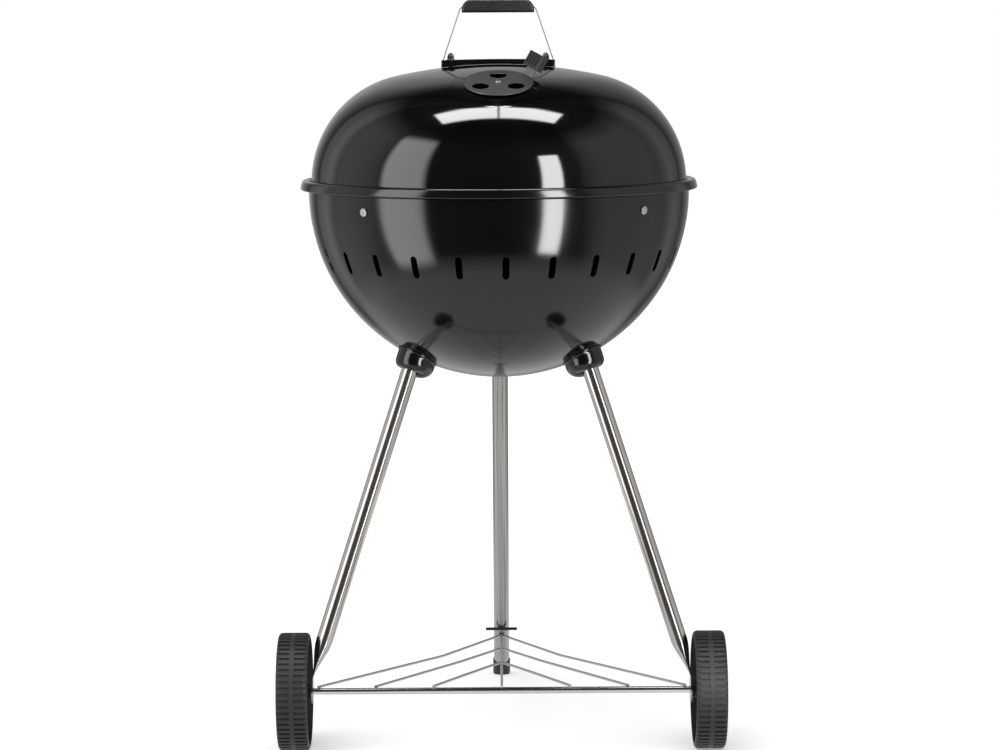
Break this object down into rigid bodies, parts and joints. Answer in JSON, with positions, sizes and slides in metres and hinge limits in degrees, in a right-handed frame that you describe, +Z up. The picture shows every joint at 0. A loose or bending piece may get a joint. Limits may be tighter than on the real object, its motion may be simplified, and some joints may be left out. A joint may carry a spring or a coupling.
{
  "type": "kettle charcoal grill",
  "caption": "Kettle charcoal grill with a domed lid and turning vent, a wire rack between tubular legs, and wheels on an axle.",
  "frame": {"origin": "on the floor under the middle of the whole grill's outline", "axes": "+Z up, -Y towards the front, where the vent and the wheels are, +X to the right seen from the front"},
  "size_m": [0.6624, 0.6774, 1.1103],
  "materials": {
    "enamel": "gloss vitreous enamel",
    "vent_plate": "satin paint",
    "knob_plastic": "fine grained, heat resistant",
    "bright_steel": "zinc plated",
    "strap_steel": "rolled strip, satin",
    "handle_plastic": "moulded, glossy",
    "grip_plastic": "moulded, fine grained",
    "cap_nut_brass": "polished",
    "socket_plastic": "moulded, glossy",
    "leg_steel": "polished tube",
    "cap_plastic": "moulded",
    "axle_steel": "drawn rod",
    "wheel_plastic": "blow moulded, fine grained",
    "rack_wire": "plated wire",
    "bracket_paint": "black",
    "bracket_steel": "zinc plated",
    "grate_chrome": "plated wire",
    "grate_steel": "plain wire"
  },
  "bodies": {
    "stand": {"bowl": "enamel", "charcoal_supports": "enamel", "socket_rear": "socket_plastic", "socket_front_right": "socket_plastic", "socket_front_left": "socket_plastic", "socket_bolts": "bright_steel", "socket_washers": "bright_steel", "socket_nuts": "bright_steel", "leg_rear": "leg_steel", "leg_front_right": "leg_steel", "leg_front_left": "leg_steel", "foot_cap": "cap_plastic", "axle": "axle_steel", "axle_caps": "cap_plastic", "rack": "rack_wire", "rack_bracket": "bracket_paint", "rack_screw": "bright_steel", "grate_brackets": "bracket_steel", "grate_bracket_screws": "bright_steel", "grate_bracket_nuts": "bright_steel"},
    "lid": {"lid": "enamel", "lid_handle_strap": "strap_steel", "lid_handle_base": "handle_plastic", "lid_handle_grip": "grip_plastic", "lid_handle_bolts": "bright_steel", "lid_handle_washers": "bright_steel", "lid_handle_nuts": "cap_nut_brass", "vent_rivet": "bright_steel"},
    "vent": {"vent_disc": "vent_plate", "vent_knob": "knob_plastic"},
    "wheel_right": {"wheel_right": "wheel_plastic"},
    "wheel_left": {"wheel_left": "wheel_plastic"},
    "cooking_grate": {"cooking_grate": "grate_chrome"},
    "charcoal_grate": {"charcoal_grate": "grate_steel"}
  },
  "joints": [
    {"name": "lid_lift", "type": "slide", "parent": "stand", "child": "lid", "axis": [0, 0, 1], "range_m": [0, 0.35]},
    {"name": "vent_turn", "type": "hinge", "parent": "lid", "child": "vent", "pos_m": [0, -0.21211, 0.98741], "axis": [0, -0.3338, 0.9426], "range_deg": [-60, 60]},
    {"name": "wheel_right_spin", "type": "hinge", "parent": "stand", "child": "wheel_right", "pos_m": [0.308, -0.20492, 0.0874], "axis": [1, 0, 0], "continuous": true},
    {"name": "wheel_left_spin", "type": "hinge", "parent": "stand", "child": "wheel_left", "pos_m": [-0.308, -0.20492, 0.0874], "axis": [1, 0, 0], "continuous": true},
    {"name": "cooking_grate_lift", "type": "slide", "parent": "stand", "child": "cooking_grate", "axis": [0, 0, 1], "range_m": [0, 0.055]},
    {"name": "charcoal_grate_lift", "type": "slide", "parent": "stand", "child": "charcoal_grate", "axis": [0, 0, 1], "range_m": [0, 0.06]}
  ]
}
